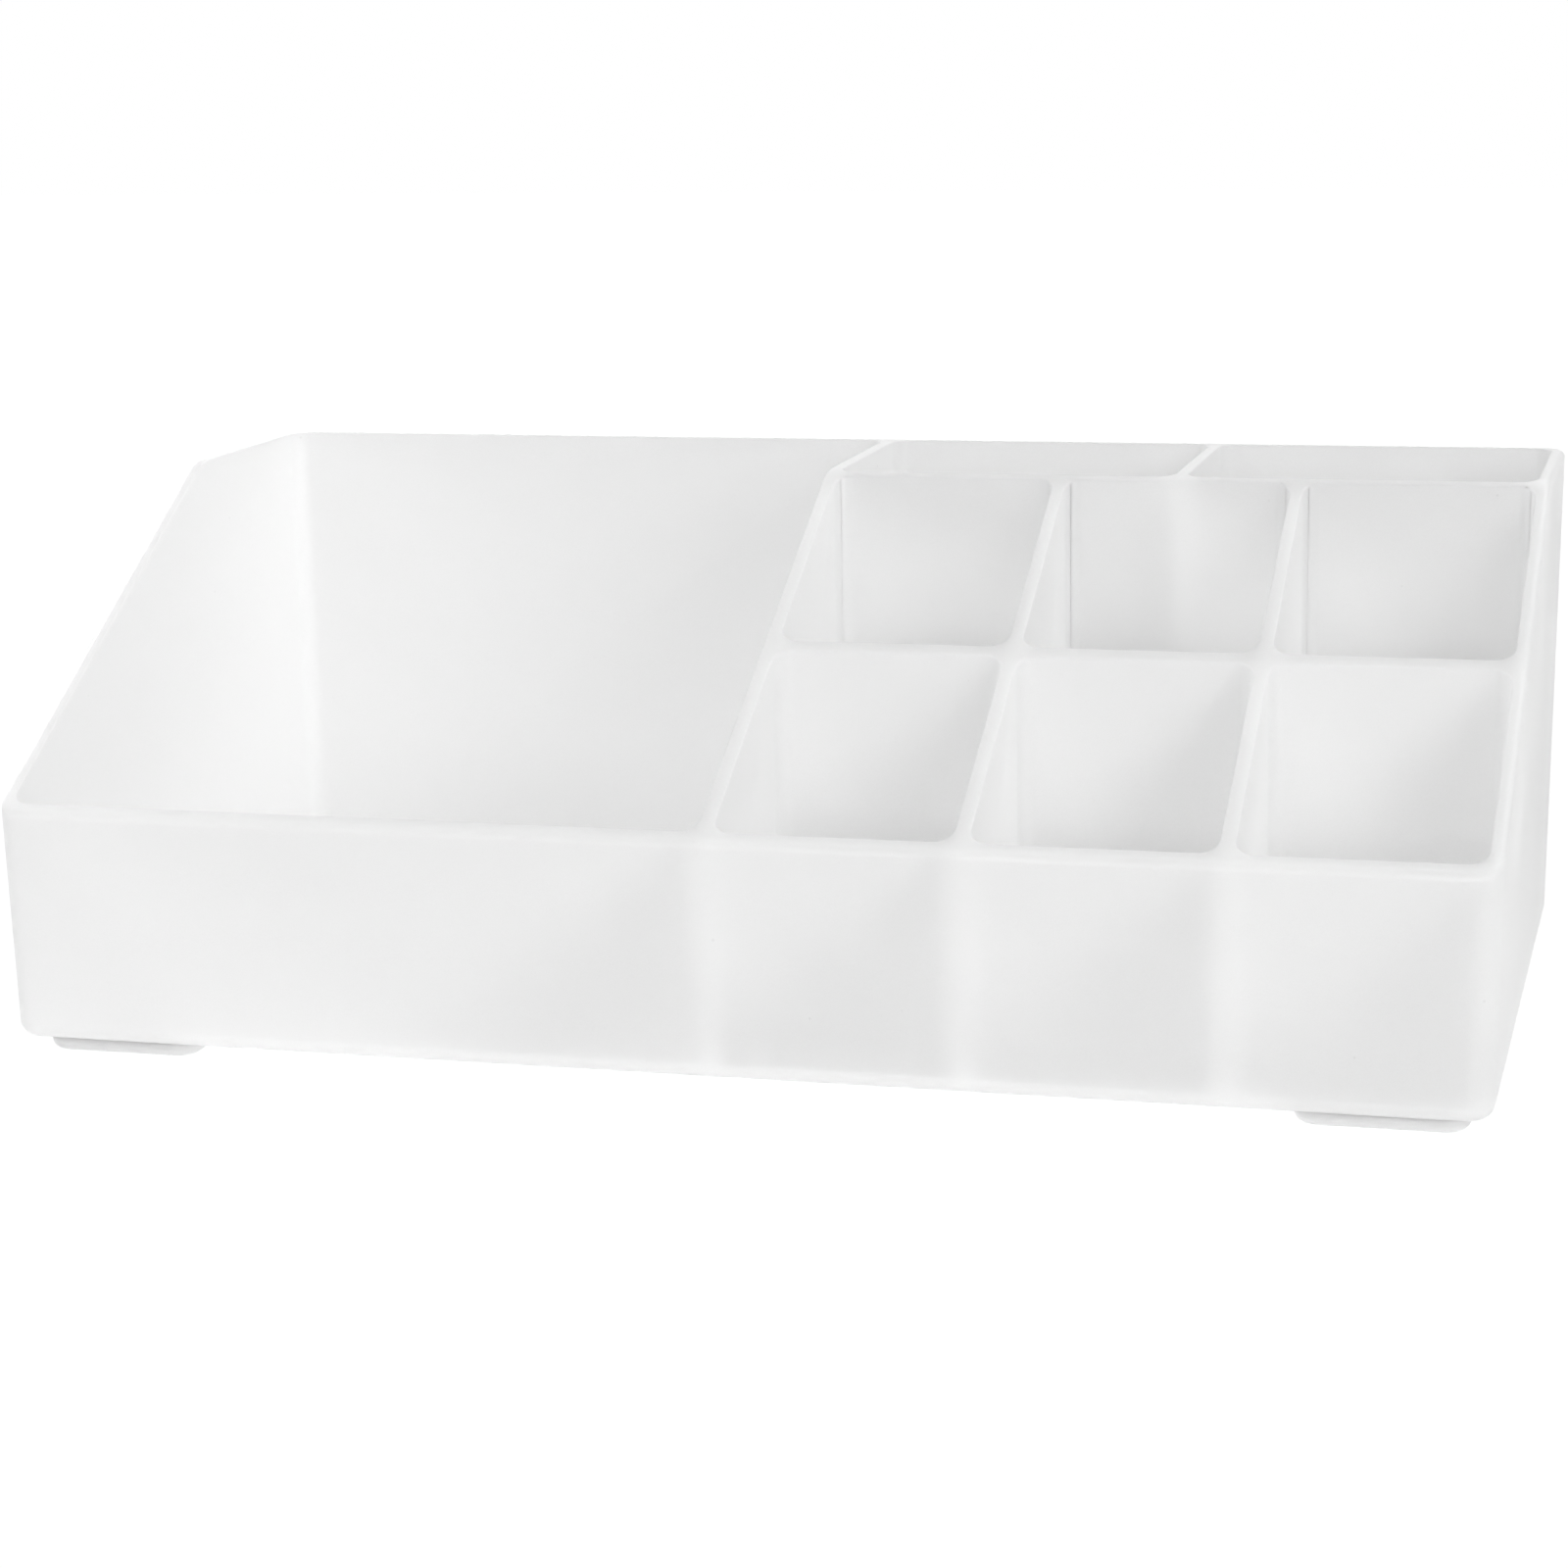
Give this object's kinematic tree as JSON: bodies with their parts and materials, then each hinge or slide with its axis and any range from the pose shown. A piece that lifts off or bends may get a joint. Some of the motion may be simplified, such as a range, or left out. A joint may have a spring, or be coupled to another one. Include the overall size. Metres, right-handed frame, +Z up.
{
  "type": "makeup organizer",
  "caption": "Free-standing frosted plastic organizer for cosmetics, with a sloping rim, one large bay, rows of small cells, tall rear slots and low corner feet.",
  "frame": {"origin": "on the table, under the middle of the organizer's outer box", "axes": "+X to the right along the front, with the large bay towards -X; +Y from the low front to the high back; +Z up"},
  "size_m": [0.3, 0.163, 0.108],
  "materials": {
    "frosted_plastic": "satin, frosted, lets light through"
  },
  "bodies": {
    "root": {"tub": "frosted_plastic", "main_divider": "frosted_plastic", "rear_cross_divider": "frosted_plastic", "rear_slot_divider": "frosted_plastic", "cell_divider_1": "frosted_plastic", "cell_divider_2": "frosted_plastic", "cross_divider_1": "frosted_plastic", "cross_divider_2": "frosted_plastic", "cross_divider_3": "frosted_plastic", "foot_front_left": "frosted_plastic", "foot_front_right": "frosted_plastic", "foot_rear_left": "frosted_plastic", "foot_rear_right": "frosted_plastic"}
  },
  "joints": []
}
